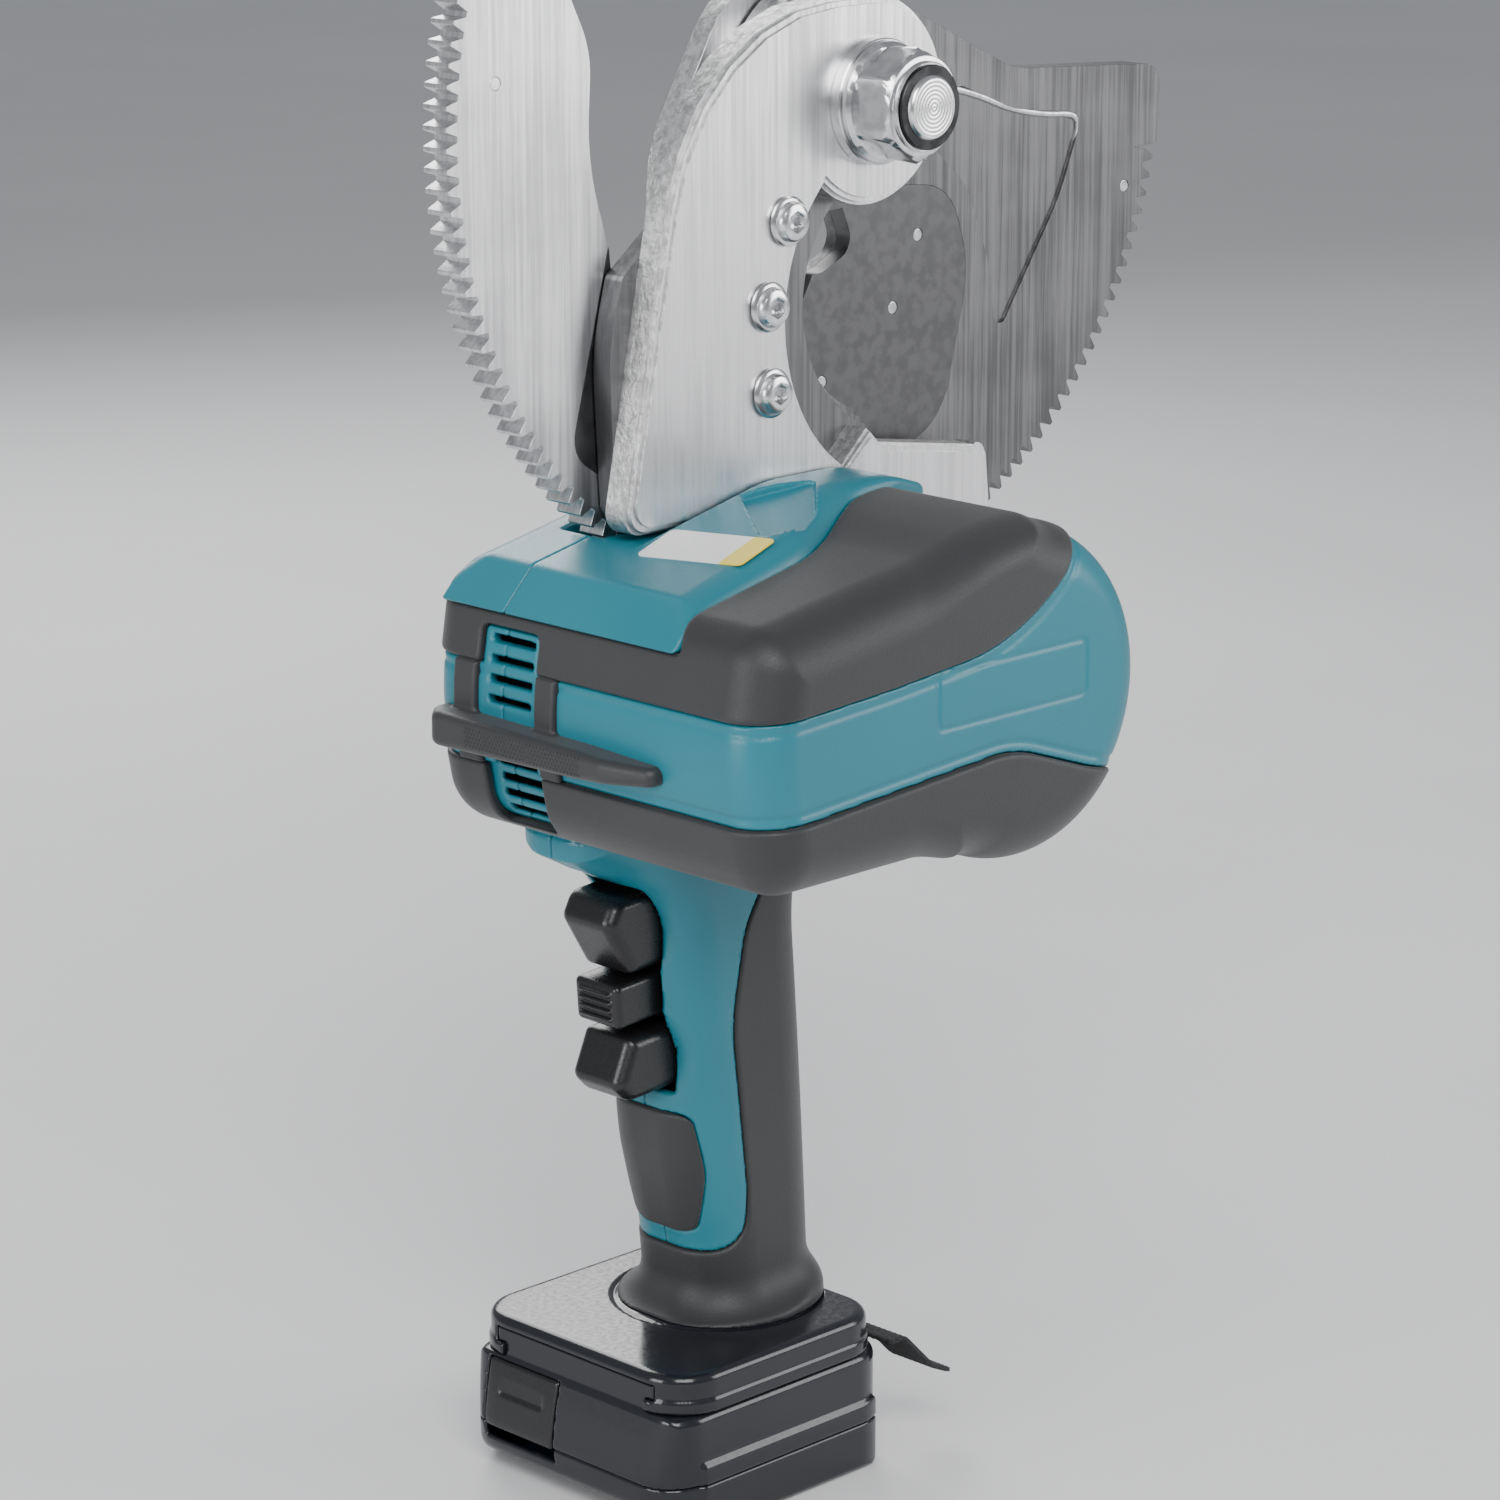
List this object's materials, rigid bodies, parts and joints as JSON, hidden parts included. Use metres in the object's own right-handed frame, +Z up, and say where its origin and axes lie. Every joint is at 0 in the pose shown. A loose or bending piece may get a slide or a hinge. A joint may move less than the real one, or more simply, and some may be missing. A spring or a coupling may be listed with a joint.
{
  "type": "cordless cable cutter",
  "caption": "Battery cable cutter: a toothed hook blade swings past a fixed blade, driven by a small gear in a two-tone moulded body.",
  "frame": {"origin": "centre of the battery's flat bottom face", "axes": "+Z up through the handle to the cutting head, +X to the back away from the triggers, -Y to the side with the pivot nut"},
  "size_m": [0.2451, 0.1245, 0.3815],
  "materials": {
    "steel_plate": "ground steel plate with fine straight scratches",
    "blade_steel": "dark hardened blade steel, finely ground",
    "hardware": "bright plated fasteners",
    "dark_ring": "blackened spring steel",
    "gear_steel": "machined steel",
    "bronze": "sintered bronze",
    "copper_winding": "enamelled copper on a laminated core",
    "gear_case_cast": "die-cast metal",
    "teal_plastic": "moulded satin plastic",
    "charcoal_rubber": "soft rubber overmould",
    "black_plastic": "smooth moulded plastic",
    "black_gloss": "glossy moulded plastic",
    "board": "circuit board",
    "controller_tray": "potted controller in a metal tray",
    "label_white": "plain printed film, left blank",
    "woven_black": "woven strap",
    "cell_wrap": "wrapped metal cells"
  },
  "bodies": {
    "tool": {"frame_plate_near": "steel_plate", "frame_plate_far": "steel_plate", "fixed_blade": "blade_steel", "blade_screws": "hardware", "frame_spacers": "hardware", "frame_bolts": "hardware", "pivot_bolt": "hardware", "pivot_collar": "hardware", "pivot_washer": "hardware", "pivot_nut": "hardware", "retaining_ring": "dark_ring", "pinion_bearings": "gear_steel", "gear_case": "gear_case_cast", "gear_case_screws": "hardware", "ring_gear": "gear_steel", "motor_plate": "gear_case_cast", "motor_stator": "copper_winding", "motor_can": "gear_steel", "motor_end_bell": "black_plastic", "motor_bearings": "gear_steel", "housing_right": "teal_plastic", "housing_left": "teal_plastic", "top_cover_right": "teal_plastic", "top_cover_left": "teal_plastic", "band_upper": "charcoal_rubber", "band_lower": "charcoal_rubber", "front_bumper": "charcoal_rubber", "lamp_board": "board", "blank_label": "label_white", "housing_screws": "hardware", "control_board": "controller_tray", "switch_block": "black_plastic", "grip_rear": "charcoal_rubber", "grip_front_pad": "charcoal_rubber", "foot_shell": "black_gloss", "terminal_block": "black_plastic", "strap_tab": "woven_black"},
    "hook_blade": {"sector_gear": "steel_plate", "movable_blade": "blade_steel", "blade_pins": "hardware", "stop_pins": "hardware", "pivot_bush": "bronze"},
    "output_shaft": {"drive_pinion": "gear_steel", "planet_carrier": "gear_steel", "planet_pins": "hardware"},
    "planet_1": {"planet_gear_1": "gear_steel"},
    "planet_2": {"planet_gear_2": "gear_steel"},
    "planet_3": {"planet_gear_3": "gear_steel"},
    "rotor": {"motor_shaft": "gear_steel", "motor_rotor": "gear_steel", "cooling_fan": "black_plastic"},
    "trigger_upper": {"upper_trigger": "black_plastic"},
    "trigger_lower": {"lower_trigger": "black_plastic"},
    "lock": {"lock_button": "black_plastic"},
    "battery": {"battery_upper_shell": "black_gloss", "battery_lower_shell": "black_gloss", "battery_cells": "cell_wrap", "battery_board": "board", "latch_spring": "hardware"},
    "latch": {"battery_latch": "black_plastic"}
  },
  "joints": [
    {"name": "blade_swing", "type": "hinge", "parent": "tool", "child": "hook_blade", "pos_m": [0.051, 0.0035, 0.33611], "axis": [0, -1, 0], "range_deg": [-26, 205]},
    {"name": "pinion_spin", "type": "hinge", "parent": "tool", "child": "output_shaft", "pos_m": [0.035, 0, 0.205], "axis": [0, -1, 0], "continuous": true},
    {"name": "planet_1_spin", "type": "hinge", "parent": "output_shaft", "child": "planet_1", "pos_m": [0.053, 0, 0.205], "axis": [0, -1, 0], "continuous": true},
    {"name": "planet_2_spin", "type": "hinge", "parent": "output_shaft", "child": "planet_2", "pos_m": [0.026, 0, 0.22059], "axis": [0, -1, 0], "continuous": true},
    {"name": "planet_3_spin", "type": "hinge", "parent": "output_shaft", "child": "planet_3", "pos_m": [0.026, 0, 0.18941], "axis": [0, -1, 0], "continuous": true},
    {"name": "rotor_spin", "type": "hinge", "parent": "tool", "child": "rotor", "pos_m": [0.035, -0.06, 0.205], "axis": [0, -1, 0], "continuous": true},
    {"name": "upper_trigger_press", "type": "slide", "parent": "tool", "child": "trigger_upper", "axis": [0.9972, 0, 0.075], "range_m": [0, 0.005], "stiffness_N_per_m": 900, "springref_m": -0.003},
    {"name": "lower_trigger_press", "type": "slide", "parent": "tool", "child": "trigger_lower", "axis": [0.9972, 0, 0.075], "range_m": [0, 0.005], "stiffness_N_per_m": 900, "springref_m": -0.003},
    {"name": "lock_press", "type": "slide", "parent": "tool", "child": "lock", "axis": [0.9972, 0, 0.075], "range_m": [0, 0.0025], "stiffness_N_per_m": 800, "springref_m": -0.002},
    {"name": "battery_slide", "type": "slide", "parent": "tool", "child": "battery", "axis": [-1, 0, 0], "range_m": [0, 0.075]},
    {"name": "latch_press", "type": "slide", "parent": "battery", "child": "latch", "axis": [0, 0, -1], "range_m": [0, 0.003], "stiffness_N_per_m": 1200, "springref_m": -0.002, "deforming": ["latch_spring"]}
  ],
  "couplings": [
    {"joint": "pinion_spin", "follows": "blade_swing", "ratio": -11.571},
    {"joint": "planet_1_spin", "follows": "blade_swing", "ratio": 34.714},
    {"joint": "planet_2_spin", "follows": "blade_swing", "ratio": 34.714},
    {"joint": "planet_3_spin", "follows": "blade_swing", "ratio": 34.714},
    {"joint": "rotor_spin", "follows": "blade_swing", "ratio": -46.286}
  ]
}
